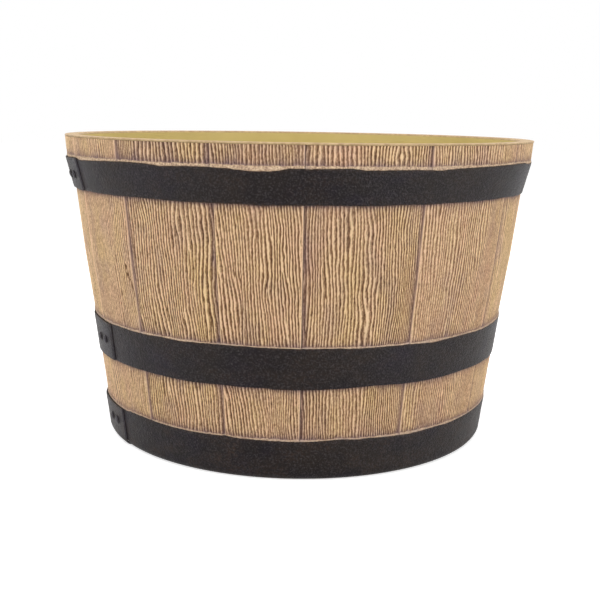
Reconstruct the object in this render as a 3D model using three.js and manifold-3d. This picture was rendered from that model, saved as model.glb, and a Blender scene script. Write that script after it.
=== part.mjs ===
// A round half-barrel planter: fifteen tapered staves held by three lapped and
// riveted hoops, a doweled head set in a groove near the foot, and a smooth inner
// tub whose lip rolls over the tops of the staves.
// Millimetres, +Z up, the origin on the ground at the middle of the foot. The front
// of the planter faces -Y, and azimuths run from there towards +X.

import * as THREE from 'three';
import { mergeVertices } from 'three/addons/utils/BufferGeometryUtils.js';
import Module from 'manifold-3d';

// Overall size
const RIM_RADIUS = 260;            // outer edge of the tub's lip
const HEIGHT = 330;                // from the ground to the top of the lip
const WALL_TOP_INSET = 10.8;       // from there in to the staves' face just under the upper hoop
const WALL_FOOT_INSET = 45.8;      // and in to their face carried on down to the ground

// Fits
const SEAT_GAP = 0.3;              // left between two pieces that rest on each other
const TUB_GAP = 0.8;               // between the tub's wall and the staves
const JOINT_GAP = 0.4;             // between two neighbouring staves
const HEAD_GAP = 1;                // room for the head to swell in its groove

// Inner tub
const LIP_WIDTH = 16;
const LIP_THICKNESS = 2;
const LIP_OVERHANG = 0.9;          // how far the lip stands out over the staves
const LIP_INNER_ROUND = 2.5;
const TUB_WALL = 3;
const TUB_FLOOR = 3.5;
const TUB_CORNER_RADIUS = 14;      // inside, between the wall and the floor

// Staves
const STAVE_WIDTHS = [             // round the rim from the first joint, closed up evenly
  92, 109, 88, 122, 129, 103, 116, 96, 114, 105, 99, 119, 99, 122, 115,
];
const FIRST_JOINT = -62.7;         // azimuth, degrees
const STAVE_FOOT_THICKNESS = 12;
const RIM_BAND_TAPER = 0.08;       // fall of the radius per unit of height above the upper hoop
const BELLY_HEIGHT = 205;          // where the staves swell most, between the upper hoops
const BELLY_SWELL = 1;             // beyond their straight taper
const EDGE_BEVEL_WIDTH = 2.2;      // along the face, at both long edges of a stave
const EDGE_BEVEL_DEPTH = 1.4;
const BEAD_HEIGHT = 3;             // raised lip of wood above each hoop
const BEAD_PROUD = 0.5;
const CHIME_CHAMFER = 2;           // at the inner bottom edge of the staves

// Hoops
const HOOP_THICKNESS = 1.5;
const HOOP_PROUD = 1.1;            // how far a hoop stands out of the face of the staves
const UPPER_HOOP_DROP = 23.4;      // from the top of the lip to the top of the upper hoop
const UPPER_HOOP_WIDTH = 32.6;
const MIDDLE_HOOP_FOOT = 95.6;     // height of the middle hoop's lower edge
const MIDDLE_HOOP_WIDTH = 41.1;
const LOWER_HOOP_TOP = 41.8;       // height of the lower hoop's upper edge
const FOOT_RADIUS = 8;             // outside, where the lower hoop turns in at the ground
const FOOT_TURN = 72;              // degrees through which the lower hoop turns in
const LAP_JOG = 18;                // length over which a hoop steps out over its own end
const UPPER_LAP = { azimuth: -61.1, length: 50 };
const MIDDLE_LAP = { azimuth: -56.5, length: 58 };
const LOWER_LAP = { azimuth: -56.5, length: 72 };

// Rivets, two through each lap
const RIVET_SETBACK = 19;          // from the hoop's outer end to the first rivet
const RIVET_SPACING = 18;
const RIVET_SHANK_RADIUS = 2.2;
const RIVET_TAIL_RADIUS = 3.4;     // the clenched tail, set in a countersink
const RIVET_TAIL_DEPTH = 1.1;
const RIVET_HEAD_RADIUS = 4.6;
const RIVET_HEAD_HEIGHT = 1.8;
const RIVET_GAP = 0.25;            // between a rivet and its hole

// Head
const HEAD_THICKNESS = 18;
const HEAD_FOOT = 22;              // height of the head's underside
const HEAD_EDGE = 7;               // thickness left at the bevelled edge
const HEAD_BEVEL_LENGTH = 16;
const CROZE_DEPTH = 4;             // of the groove that holds the head
const HEAD_BOARDS = 5;             // of equal width
const DOWEL_RADIUS = 4;
const DOWEL_LENGTH = 40;
const DOWEL_CHAMFER = 1;
const DOWEL_INSET = 117.5;         // from the head's edge, in along its boards
const DRAIN_RADIUS = 6;
const DRAIN_INSET = 89.5;          // from the head's edge in to the drains' middles
const DRAIN_COUNT = 6;

// Fineness of the faceted surfaces
const HOOP_STEP = 4;               // degrees
const STAVE_STEP = 7;              // degrees
const TUB_SEGMENTS = 72;
const HEAD_SEGMENTS = 72;
const DRAIN_SEGMENTS = 16;
const SMALL_SEGMENTS = 10;
const FOOT_ARC_STEPS = 2;
const ROUND_STEPS = 3;             // in each rounded edge and corner of the tub

// Colours and finishes
const staveWood = new THREE.MeshStandardMaterial({ color: 0xb29270, roughness: 0.75, metalness: 0 });
const headWood = new THREE.MeshStandardMaterial({ color: 0xa9895f, roughness: 0.85, metalness: 0 });
const blackPaint = new THREE.MeshStandardMaterial({ color: 0x312d2e, roughness: 0.55, metalness: 0.3 });
const ochrePlastic = new THREE.MeshStandardMaterial({ color: 0xc8af6d, roughness: 0.6, metalness: 0 });

const wasm = await Module();
wasm.setup();

const planter = new THREE.Group();

function addMesh(name, geometry, material) {
  const mesh = new THREE.Mesh(geometry, material);
  mesh.name = name;
  planter.add(mesh);
}

// Conversion between surfaces and solids that can be cut

function solidOf(geometry) {
  const bare = geometry.clone();
  bare.deleteAttribute('normal');
  bare.deleteAttribute('uv');
  const merged = mergeVertices(bare, 1e-4);
  return new wasm.Manifold(new wasm.Mesh({
    numProp: 3,
    vertProperties: new Float32Array(merged.attributes.position.array),
    triVerts: new Uint32Array(merged.index.array),
  }));
}

function geometryOf(solid) {
  const result = solid.getMesh();
  const geometry = new THREE.BufferGeometry();
  geometry.setAttribute('position', new THREE.BufferAttribute(result.vertProperties, 3));
  geometry.setIndex(new THREE.BufferAttribute(result.triVerts, 1));
  geometry.computeVertexNormals();
  return geometry;
}

// Shared geometry: a profile point is (radius, height), and a profile runs
// counterclockwise, up its outer side and down its inner side.

const point = (r, z) => new THREE.Vector2(r, z);
const radians = THREE.MathUtils.degToRad;
const degreesAlong = (length, radius) => THREE.MathUtils.radToDeg(length / radius);

function polar(r, azimuth, z) {
  return new THREE.Vector3(r * Math.sin(radians(azimuth)), -r * Math.cos(radians(azimuth)), z);
}

// One profile per section, carried round the axis through the sections' azimuths and
// closed at both ends.
function sweepRound(sections) {
  const count = sections[0].profile.length;
  const positions = sections.flatMap(({ azimuth, profile }) =>
    profile.flatMap(({ x, y }) => polar(x, azimuth, y).toArray()));
  const faces = [];
  for (let s = 0; s < sections.length - 1; s++) {
    for (let p = 0; p < count; p++) {
      const here = s * count + p;
      const above = s * count + (p + 1) % count;
      faces.push(here, here + count, above);
      faces.push(above, here + count, above + count);
    }
  }
  for (const [a, b, c] of THREE.ShapeUtils.triangulateShape(sections[0].profile, [])) {
    faces.push(a, b, c);
  }
  const last = (sections.length - 1) * count;
  for (const [a, b, c] of THREE.ShapeUtils.triangulateShape(sections.at(-1).profile, [])) {
    faces.push(last + a, last + c, last + b);
  }
  const geometry = new THREE.BufferGeometry();
  geometry.setAttribute('position', new THREE.Float32BufferAttribute(positions, 3));
  geometry.setIndex(faces);
  geometry.computeVertexNormals();
  return geometry;
}

// A full turn of a profile about the vertical axis.
function turned(profile, segments) {
  return new THREE.LatheGeometry(profile, segments).rotateX(Math.PI / 2);
}

// Azimuths from one to the other on a grid that layers lying on each other share.
function gridBetween(from, to, step) {
  const azimuths = [from];
  const margin = step / 4;
  for (let k = Math.ceil((from + margin) / step); k * step < to - margin; k++) {
    azimuths.push(k * step);
  }
  azimuths.push(to);
  return azimuths;
}

function arc(centre, radius, fromDegrees, toDegrees, steps) {
  const points = [];
  for (let k = 0; k <= steps; k++) {
    const angle = radians(THREE.MathUtils.lerp(fromDegrees, toDegrees, k / steps));
    points.push(point(centre.x + radius * Math.cos(angle), centre.y + radius * Math.sin(angle)));
  }
  return points;
}

// Outline of the staves and hoops

const wallTopRadius = RIM_RADIUS - WALL_TOP_INSET;
const wallFootRadius = RIM_RADIUS - WALL_FOOT_INSET;
const staveTop = HEIGHT - LIP_THICKNESS - SEAT_GAP;
const upperHoopTop = HEIGHT - UPPER_HOOP_DROP;
const upperHoopFoot = upperHoopTop - UPPER_HOOP_WIDTH;
const middleHoopTop = MIDDLE_HOOP_FOOT + MIDDLE_HOOP_WIDTH;
const rimBand = (z) => RIM_RADIUS - LIP_OVERHANG - (staveTop - z) * RIM_BAND_TAPER;

// Radius of the staves' outer face: a steep band at the rim, a slope under the upper
// hoop, and from there a taper to the ground with a slight swell above the middle hoop.
function faceRadius(z) {
  if (z >= upperHoopTop) return rimBand(z);
  if (z >= upperHoopFoot) {
    const share = (z - upperHoopFoot) / UPPER_HOOP_WIDTH;
    return THREE.MathUtils.lerp(wallTopRadius, rimBand(upperHoopTop), share);
  }
  const straight = THREE.MathUtils.lerp(wallFootRadius, wallTopRadius, z / upperHoopFoot);
  const fromHoop = z < BELLY_HEIGHT ? middleHoopTop : upperHoopFoot;
  const swell = BELLY_SWELL * (z - fromHoop) / (BELLY_HEIGHT - fromHoop);
  return straight + Math.max(swell, 0);
}

const hoopOuter = (z) => faceRadius(z) + HOOP_PROUD;
const hoopInner = (z) => hoopOuter(z) - HOOP_THICKNESS;
const hoopSeat = (z) => hoopInner(z) - SEAT_GAP;

// The staves' inner face is straight, and the tub's wall follows it.
const lipInner = RIM_RADIUS - LIP_WIDTH;
const staveInnerTop = lipInner + TUB_WALL + TUB_GAP;
const staveInnerFoot = wallFootRadius - STAVE_FOOT_THICKNESS;
const staveInner = (z) => THREE.MathUtils.lerp(staveInnerFoot, staveInnerTop, z / staveTop);

// The lower hoop turns in at the foot about this centre, and the staves' ends follow.
const footCentre = point(hoopOuter(FOOT_RADIUS) - FOOT_RADIUS, FOOT_RADIUS);

// The head lies in a groove that tapers as its bevelled edge does.
const headMiddle = HEAD_FOOT + HEAD_THICKNESS / 2;
const headTop = HEAD_FOOT + HEAD_THICKNESS;
const crozeRadius = staveInner(headMiddle) + CROZE_DEPTH;
const headRadius = crozeRadius - HEAD_GAP;
const headBevelSlope = (HEAD_THICKNESS - HEAD_EDGE) / 2 / HEAD_BEVEL_LENGTH;
const crozeFloorHalf = HEAD_EDGE / 2 + SEAT_GAP;
const crozeMouthHalf = crozeFloorHalf + CROZE_DEPTH * headBevelSlope;

// Staves

// From a hoop's seat up over the raised lip of wood above the hoop.
function beadAbove(top) {
  const wall = faceRadius(top + BEAD_HEIGHT);
  return [
    point(hoopSeat(top), top + SEAT_GAP),
    point(wall + BEAD_PROUD, top + SEAT_GAP),
    point(wall, top + BEAD_HEIGHT),
  ];
}

// From the face below a hoop, into its seat.
const seatFoot = (foot) => [
  point(faceRadius(foot - SEAT_GAP), foot - SEAT_GAP),
  point(hoopSeat(foot), foot - SEAT_GAP),
];

const turnedInEnd = arc(footCentre, FOOT_RADIUS - HOOP_THICKNESS, -FOOT_TURN, 0, FOOT_ARC_STEPS)[0];
const staveFootArc = arc(
  footCentre, FOOT_RADIUS - HOOP_THICKNESS - SEAT_GAP, -FOOT_TURN, 0, FOOT_ARC_STEPS);
const chimeOuter = turnedInEnd.x - SEAT_GAP;

const staveProfile = [
  point(staveInnerFoot + CHIME_CHAMFER, 0),
  point(chimeOuter, 0),
  point(chimeOuter, staveFootArc[0].y),
  ...staveFootArc,
  ...beadAbove(LOWER_HOOP_TOP),
  ...seatFoot(MIDDLE_HOOP_FOOT),
  ...beadAbove(middleHoopTop),
  point(faceRadius(BELLY_HEIGHT), BELLY_HEIGHT),
  ...seatFoot(upperHoopFoot),
  ...beadAbove(upperHoopTop),
  point(faceRadius(staveTop), staveTop),
  point(staveInner(staveTop), staveTop),
  point(staveInner(headMiddle + crozeMouthHalf), headMiddle + crozeMouthHalf),
  point(crozeRadius, headMiddle + crozeFloorHalf),
  point(crozeRadius, headMiddle - crozeFloorHalf),
  point(staveInner(headMiddle - crozeMouthHalf), headMiddle - crozeMouthHalf),
  point(staveInner(CHIME_CHAMFER), CHIME_CHAMFER),
];

// The same profile with its outer side set back, as at the bevelled long edges.
const staveEdgeProfile = staveProfile.map(({ x, y }) => {
  const isOuter = x > (faceRadius(y) + staveInner(y)) / 2;
  return point(isOuter ? x - EDGE_BEVEL_DEPTH : x, y);
});

function staveGeometry(from, to) {
  const halfGap = degreesAlong(JOINT_GAP / 2, staveInnerFoot);
  const bevel = degreesAlong(EDGE_BEVEL_WIDTH, wallFootRadius);
  const face = gridBetween(from + halfGap + bevel, to - halfGap - bevel, STAVE_STEP);
  return sweepRound([
    { azimuth: from + halfGap, profile: staveEdgeProfile },
    ...face.map((azimuth) => ({ azimuth, profile: staveProfile })),
    { azimuth: to - halfGap, profile: staveEdgeProfile },
  ]);
}

const rimRound = STAVE_WIDTHS.reduce((sum, width) => sum + width, 0);
let joint = FIRST_JOINT;
STAVE_WIDTHS.forEach((width, index) => {
  const next = joint + 360 * width / rimRound;
  addMesh(`stave_${String(index + 1).padStart(2, '0')}`, staveGeometry(joint, next), staveWood);
  joint = next;
});

// Hoops and rivets

const layerStep = HOOP_THICKNESS + SEAT_GAP;

const shifted = (profile, offset) => profile.map(({ x, y }) => point(x + offset, y));

const stripProfile = (foot, top) => [
  point(hoopInner(foot), foot),
  point(hoopOuter(foot), foot),
  point(hoopOuter(top), top),
  point(hoopInner(top), top),
];

// The lower hoop's strip, turned in at the foot through the given angle.
const footedProfile = (turn) => [
  ...arc(footCentre, FOOT_RADIUS, -turn, 0, FOOT_ARC_STEPS),
  point(hoopOuter(LOWER_HOOP_TOP), LOWER_HOOP_TOP),
  point(hoopInner(LOWER_HOOP_TOP), LOWER_HOOP_TOP),
  ...arc(footCentre, FOOT_RADIUS - HOOP_THICKNESS, 0, -turn, FOOT_ARC_STEPS),
];

// A hoop runs from its tucked inner end once round and out over that end. The tucked
// part may have a profile of its own, which opens into the full one past the lap.
function hoopGeometry({ lap, middle, profile, tucked = [profile] }) {
  const radius = hoopOuter(middle);
  const margin = degreesAlong(2 * SEAT_GAP, radius);
  const outerEnd = lap.azimuth + 360;
  const innerEnd = lap.azimuth - degreesAlong(lap.length, radius);
  const jogEnd = innerEnd + 360 - margin;
  const jogStart = jogEnd - degreesAlong(LAP_JOG, radius);
  const uncovered = lap.azimuth + margin;
  const opening = tucked.slice(1).map((between, k) =>
    ({ azimuth: uncovered + margin * (k + 1) / tucked.length, profile: between }));
  return sweepRound([
    ...gridBetween(innerEnd, uncovered, HOOP_STEP)
      .map((azimuth) => ({ azimuth, profile: tucked[0] })),
    ...opening,
    ...gridBetween(uncovered + margin, jogStart, HOOP_STEP)
      .map((azimuth) => ({ azimuth, profile })),
    ...gridBetween(jogEnd, outerEnd, HOOP_STEP)
      .map((azimuth) => ({ azimuth, profile: shifted(profile, layerStep) })),
  ]);
}

// A rivet's outline about its own axis, from the tail's face outwards, and the hole
// that it fills.
function rivetProfile(stack) {
  const headFoot = stack + SEAT_GAP;
  const domeRadius = (RIVET_HEAD_RADIUS ** 2 + RIVET_HEAD_HEIGHT ** 2) / (2 * RIVET_HEAD_HEIGHT);
  const domeCentre = point(0, headFoot + RIVET_HEAD_HEIGHT - domeRadius);
  const domeEdge = THREE.MathUtils.radToDeg(Math.acos(RIVET_HEAD_RADIUS / domeRadius));
  return [
    point(0, 0),
    point(RIVET_TAIL_RADIUS, 0),
    point(RIVET_SHANK_RADIUS, RIVET_TAIL_DEPTH),
    point(RIVET_SHANK_RADIUS, headFoot),
    ...arc(domeCentre, domeRadius, domeEdge, 90, 2).slice(0, -1),
    point(0, headFoot + RIVET_HEAD_HEIGHT),
  ];
}

const rivetHoleProfile = (stack) => [
  point(0, -stack),
  point(RIVET_TAIL_RADIUS + RIVET_GAP, -stack),
  point(RIVET_TAIL_RADIUS + RIVET_GAP, 0),
  point(RIVET_SHANK_RADIUS + RIVET_GAP, RIVET_TAIL_DEPTH + RIVET_GAP),
  point(RIVET_SHANK_RADIUS + RIVET_GAP, 2 * stack),
  point(0, 2 * stack),
];

// Stands a shape made along +Z on the hoop's inner face, square to the hoop.
function setIntoHoop(geometry, azimuth, z) {
  const slope = (hoopInner(z + 1) - hoopInner(z - 1)) / 2;
  const outward = polar(1, azimuth, -slope).normalize();
  const turn = new THREE.Quaternion().setFromUnitVectors(new THREE.Vector3(0, 0, 1), outward);
  return geometry.applyQuaternion(turn).translate(...polar(hoopInner(z), azimuth, z).toArray());
}

function addHoop(name, hoop) {
  const { lap, middle } = hoop;
  const stack = HOOP_THICKNESS + layerStep;
  let solid = solidOf(hoopGeometry(hoop));
  for (let k = 0; k < 2; k++) {
    const setback = RIVET_SETBACK + k * RIVET_SPACING;
    const azimuth = lap.azimuth - degreesAlong(setback, hoopOuter(middle));
    const hole = turned(rivetHoleProfile(stack), SMALL_SEGMENTS);
    solid = solid.subtract(solidOf(setIntoHoop(hole, azimuth, middle)));
    const rivet = turned(rivetProfile(stack), SMALL_SEGMENTS);
    addMesh(`${name}_rivet_${k + 1}`, setIntoHoop(rivet, azimuth, middle), blackPaint);
  }
  addMesh(name, geometryOf(solid), blackPaint);
}

addHoop('upper_hoop', {
  lap: UPPER_LAP,
  middle: (upperHoopFoot + upperHoopTop) / 2,
  profile: stripProfile(upperHoopFoot, upperHoopTop),
});
addHoop('middle_hoop', {
  lap: MIDDLE_LAP,
  middle: (MIDDLE_HOOP_FOOT + middleHoopTop) / 2,
  profile: stripProfile(MIDDLE_HOOP_FOOT, middleHoopTop),
});

// The tucked end of the lower hoop is hardly turned in, so that the end over it can be.
const tuckedTurns = [0.07, 0.38, 0.69].map((share) => share * FOOT_TURN);
addHoop('lower_hoop', {
  lap: LOWER_LAP,
  middle: (FOOT_RADIUS + LOWER_HOOP_TOP) / 2,
  profile: footedProfile(FOOT_TURN),
  tucked: tuckedTurns.map(footedProfile),
});

// Head: a bevelled disc sawn into boards, with holes for the dowels and for drainage

const drains = Array.from({ length: DRAIN_COUNT }, (_, k) =>
  polar(headRadius - DRAIN_INSET, 90 + 360 * k / DRAIN_COUNT, 0));

function drainCutter({ x, y }, foot, top) {
  const height = top - foot + 2;
  return solidOf(new THREE.CylinderGeometry(DRAIN_RADIUS, DRAIN_RADIUS, height, DRAIN_SEGMENTS)
    .rotateX(Math.PI / 2)
    .translate(x, y, (foot + top) / 2));
}

const headProfile = [
  point(0, HEAD_FOOT),
  point(headRadius - HEAD_BEVEL_LENGTH, HEAD_FOOT),
  point(headRadius, headMiddle - HEAD_EDGE / 2),
  point(headRadius, headMiddle + HEAD_EDGE / 2),
  point(headRadius - HEAD_BEVEL_LENGTH, headTop),
  point(0, headTop),
];

const headSeams = Array.from({ length: HEAD_BOARDS - 1 }, (_, k) =>
  headRadius * (2 * (k + 1) / HEAD_BOARDS - 1));
const dowelOffset = headRadius - DOWEL_INSET;
const dowelSpots = headSeams.flatMap((y) => [-dowelOffset, dowelOffset].map((x) => ({ x, y })));

const dowelProfile = (radius, length, chamfer) => [
  point(0, -length / 2),
  point(radius - chamfer, -length / 2),
  point(radius, -length / 2 + chamfer),
  point(radius, length / 2 - chamfer),
  point(radius - chamfer, length / 2),
  point(0, length / 2),
];

function alongSeam(profile, { x, y }) {
  return new THREE.LatheGeometry(profile, SMALL_SEGMENTS).translate(x, y, headMiddle);
}

let head = solidOf(turned(headProfile, HEAD_SEGMENTS));
for (const drain of drains) head = head.subtract(drainCutter(drain, HEAD_FOOT, headTop));
const dowelHole = dowelProfile(DOWEL_RADIUS + SEAT_GAP, DOWEL_LENGTH + 2 * SEAT_GAP, DOWEL_CHAMFER);
for (const spot of dowelSpots) head = head.subtract(solidOf(alongSeam(dowelHole, spot)));

const boardEdges = [-headRadius - 1, ...headSeams, headRadius + 1];
for (let k = 0; k < boardEdges.length - 1; k++) {
  const from = boardEdges[k] + SEAT_GAP / 2;
  const to = boardEdges[k + 1] - SEAT_GAP / 2;
  const sawn = new THREE.BoxGeometry(3 * headRadius, to - from, 3 * HEAD_THICKNESS)
    .translate(0, (from + to) / 2, headMiddle);
  addMesh(`head_board_${k + 1}`, geometryOf(head.intersect(solidOf(sawn))), headWood);
}

dowelSpots.forEach((spot, index) => {
  const dowel = alongSeam(dowelProfile(DOWEL_RADIUS, DOWEL_LENGTH, DOWEL_CHAMFER), spot);
  addMesh(`head_dowel_${index + 1}`, dowel, headWood);
});

// Inner tub: a drained floor on the head, a wall that follows the staves, and a lip
// rolled out over them

const tubFoot = headTop + SEAT_GAP;
const floorTop = tubFoot + TUB_FLOOR;
const lipUnderside = HEIGHT - LIP_THICKNESS;
const tubOuter = (z) => staveInner(z) - TUB_GAP;
const tubInner = (z) => tubOuter(z) - TUB_WALL;
const lean = THREE.MathUtils.radToDeg(Math.atan((staveInnerTop - staveInnerFoot) / staveTop));

// A rounded corner between a level floor at height z and a leaning wall.
function tubCorner(radius, z, wall, fromDegrees, toDegrees) {
  const tangent = z + radius * (1 - Math.sin(radians(lean)));
  const centre = point(wall(tangent) - radius * Math.cos(radians(lean)), z + radius);
  return arc(centre, radius, fromDegrees, toDegrees, ROUND_STEPS);
}

const outerCorner = TUB_CORNER_RADIUS + TUB_WALL;
const edgeRadius = LIP_THICKNESS / 2;
const tubProfile = [
  point(0, tubFoot),
  ...tubCorner(outerCorner, tubFoot, tubOuter, -90, -lean),
  point(tubOuter(lipUnderside), lipUnderside),
  ...arc(point(RIM_RADIUS - edgeRadius, HEIGHT - edgeRadius), edgeRadius, -90, 90, ROUND_STEPS + 1),
  ...arc(point(lipInner + LIP_INNER_ROUND, HEIGHT - LIP_INNER_ROUND), LIP_INNER_ROUND, 90, 180, ROUND_STEPS),
  ...tubCorner(TUB_CORNER_RADIUS, floorTop, tubInner, -lean, -90),
  point(0, floorTop),
];

let tub = solidOf(turned(tubProfile, TUB_SEGMENTS));
for (const drain of drains) tub = tub.subtract(drainCutter(drain, tubFoot, floorTop));
addMesh('liner_tub', geometryOf(tub), ochrePlastic);

export default planter;
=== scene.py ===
import bmesh
import bpy
import numpy as np
from mathutils import Matrix, Vector


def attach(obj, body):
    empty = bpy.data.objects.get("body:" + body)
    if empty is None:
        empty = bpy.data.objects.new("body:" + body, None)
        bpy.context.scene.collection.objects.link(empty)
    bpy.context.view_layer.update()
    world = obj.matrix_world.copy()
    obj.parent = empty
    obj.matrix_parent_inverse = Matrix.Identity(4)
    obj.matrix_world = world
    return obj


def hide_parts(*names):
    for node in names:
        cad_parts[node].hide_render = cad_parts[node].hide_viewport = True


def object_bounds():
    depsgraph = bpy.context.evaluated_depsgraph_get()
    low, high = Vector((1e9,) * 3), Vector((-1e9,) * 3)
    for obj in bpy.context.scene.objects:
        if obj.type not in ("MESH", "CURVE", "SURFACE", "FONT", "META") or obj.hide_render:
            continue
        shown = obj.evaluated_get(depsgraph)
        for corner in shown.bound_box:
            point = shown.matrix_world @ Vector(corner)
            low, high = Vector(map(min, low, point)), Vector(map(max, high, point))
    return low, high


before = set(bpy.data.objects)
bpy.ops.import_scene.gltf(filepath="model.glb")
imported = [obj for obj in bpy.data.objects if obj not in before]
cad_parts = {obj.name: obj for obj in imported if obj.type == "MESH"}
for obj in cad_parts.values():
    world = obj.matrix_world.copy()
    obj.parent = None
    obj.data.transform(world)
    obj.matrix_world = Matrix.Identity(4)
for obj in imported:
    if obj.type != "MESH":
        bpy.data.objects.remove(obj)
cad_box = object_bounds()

# Staves. Fifteen tapered oak boards of unequal width stand side by side. Their faces are
# carved with raised wandering grain, washed dark brown and rubbed back to light tan on the
# ridges. Every second board stands a little proud, with a worn bright edge along its joints.

RIM_RADIUS, HEIGHT = round(1000 * cad_box[1][0]), round(1000 * cad_box[1][2])   # mm, of the CAD
STAVE_WIDTHS = [92, 109, 88, 122, 129, 103, 116, 96, 114, 105, 99, 119, 99, 122, 115]
FIRST_JOINT = -62.7                     # degrees from the front, towards +X
STAVE_SIDE_GAP = 0.2                    # mm, half of the gap between two staves
STAVE_TOP = HEIGHT - 2.1                # mm, just under the tub's lip
GIRTH_RADIUS = 250                      # mm, where lengths round the staves are measured
UPPER, MIDDLE, LOWER = (274.0, 306.6), (95.6, 136.7), (8.0, 41.8)   # foot and top of each hoop

# Radii of the staves' faces, in mm.
RIM_BAND_RADIUS, RIM_BAND_TAPER = RIM_RADIUS - 0.9, 0.08            # at the top, and per mm down
SLOPE_TOP_RADIUS = 257.412                                          # at the upper hoop's top
WALL_TOP_RADIUS, WALL_FOOT_RADIUS = RIM_RADIUS - 10.8, RIM_RADIUS - 45.8
BELLY_HEIGHT, BELLY_SWELL = 205, 1
INNER_TOP_RADIUS, INNER_FOOT_RADIUS = RIM_RADIUS - 12.2, WALL_FOOT_RADIUS - 12
CROZE_RADIUS = 210.53                   # floor of the groove that holds the head
SEAT_DEPTH = 0.7                        # how far the face is let in behind a hoop

# Height and radius up the end behind the turned-in hoop, and down past the head's groove.
STAVE_FOOT = [(0, 210.03), (2.0, 210.2), (4.36, 213.34), (8, 214.52)]
CROZE = [(36.2, 207.25), (34.8, CROZE_RADIUS), (27.2, CROZE_RADIUS), (25.8, 205.8)]

# The carving: its lines' depth and spacing in mm, how steeply they lean to the right on their
# way down and how deep their grooves are cut, each with the staves that differ, counted from 0,
# and how much board there is to each fork.
GRAIN_DEPTH, GRAIN_SPACING = 0.8, 3.5
GRAIN_LEAN, STEEPER_LEAN = 0.03, {2: 0.07}
GROOVE_SHARE, SHALLOWER_GROOVES = 0.84, {0: 0.56, 3: 0.80, 4: 0.66, 5: 0.42}
FORK_AREA, FORK_STRETCH = 1500, 8.5     # mm2, and how drawn out a fork is lengthwise

# How many lines aside the grain wanders, over what width and height in mm, and its seed.
WANDERS = [(1.0, 24, 62, 1), (0.30, 8, 21, 2), (0.13, 2.4, 6.5, 3), (0.07, 1.3, 2.9, 6)]

# A ledge's rounded face: the share of its height, and how proud of the wall it is in mm.
LEDGE_ROLL = [(0, 0.25), (0.12, 0.45), (0.35, 0.55), (0.6, 0.48), (0.82, 0.2)]
LOW_ROWS, WALL_ROWS, RIM_ROWS = 38, 92, 17                          # of the grained panels

# How much dark wash is left above the upper hoop on some staves, counted from 0.
RIM_STAINS = {1: 0.25, 2: 0.4}

# The first stave's two knots, as azimuth, height and radius, and the crack that runs down from
# them to its right joint.
KNOTS = [(-45.0, 203.6, 1.5), (-44.9, 195.5, 1.3)]
CRACK_HEIGHTS, CRACK_AZIMUTHS = [176, 188, 196], [-42.9, -43.5, -44.7]

# How far each hoop's edge strays from its level, in mm, at these azimuths in degrees.
UPPER_TOP_STRAYS = {
    -58: -1.0, -50: 0, -44: 0.8, -37: 1.2, -32: 0.3, -30: -0.9, -27: -0.2, -20: 0.3, -14: -0.6,
    -10: -2.2, -6: -2.2, -4: -1.4, -2: 0.6, 2: 0.2, 10: 0.9, 14: -0.6, 24: -0.2, 30: -1.0,
    36: 0.4, 44: 1.1, 50: 1.5, 58: 1.9, 64: 1.8}
UPPER_FOOT_STRAYS = {
    -58: 0.3, -46: 0.1, -37: 0.6, -24: -0.3, -12: 0, -8: -0.8, 0: 0, 8: 0.1, 15: -0.6, 22: 0.2,
    28: -0.2, 34: 0.6, 44: 0.5, 50: 0.8, 57: 1.4, 62: 0.4}
MIDDLE_TOP_STRAYS = {
    -58: -0.9, -52: 0.4, -46: -0.1, -41: -0.4, -35: 0.7, -29: -0.3, -23: 0.7, -14: 1.1, -6: 0.8,
    2: 0.6, 10: 0.8, 14: 0, 20: 0.4, 29: 0.4, 35: -0.9, 42: 0.5, 48: 0.7, 57: -0.2, 63: 0.6}
MIDDLE_FOOT_STRAYS = {
    -60: 0.6, -50: 0.9, -42: 1.1, -34: 0.7, -26: 0.3, -19: 1.4, -14: 0.8, -8: 1.4, -5: 0.2, 3: 0.1,
    8: 0.8, 12: 1.3, 20: 2.3, 28: 1.2, 34: 0.8, 42: 1.5, 48: 2.2, 52: 2.2, 58: 1.7, 64: 1.6}
LOWER_TOP_STRAYS = {
    -58: -0.2, -54: 0.3, -52: 1.4, -46: 1.9, -40: 1.1, -34: 0.6, -28: 0.4, -22: 0.8, -18: 1.5,
    -14: 0.4, -2: -0.1, 2: -0.4, 8: 0.8, 12: 1.4, 16: 0.2, 18: 0.9, 24: 0, 32: -0.6, 40: 0.5,
    46: -0.3, 52: 0.6, 60: 0.7, 64: 0.8}

# Seeds of the noise along each hoop's top edge and along its foot.
UPPER_SEEDS, MIDDLE_SEEDS, LOWER_SEEDS = (9, 32), (8, 31), (7, 33)


def drift(across, along, seed):
    """Smooth noise from -1 to 1: seeded random numbers on a square lattice that repeats every
    256 cells, blended from corner to corner by a cubic step."""
    cells = 256
    lattice = np.random.default_rng(seed).uniform(-1, 1, (cells, cells))
    across, along = np.broadcast_arrays(across, along)
    column, row = np.floor(across).astype(int), np.floor(along).astype(int)
    u, v = across - column, along - row
    u, v = u * u * (3 - 2 * u), v * v * (3 - 2 * v)

    def at(lines, place):
        return np.take_along_axis(lines, (place % cells)[..., None], axis=-1)[..., 0]

    near, far = lattice[column % cells], lattice[(column + 1) % cells]
    here = at(near, row) * (1 - u) + at(far, row) * u
    beyond = at(near, row + 1) * (1 - u) + at(far, row + 1) * u
    return here * (1 - v) + beyond * v


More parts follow.
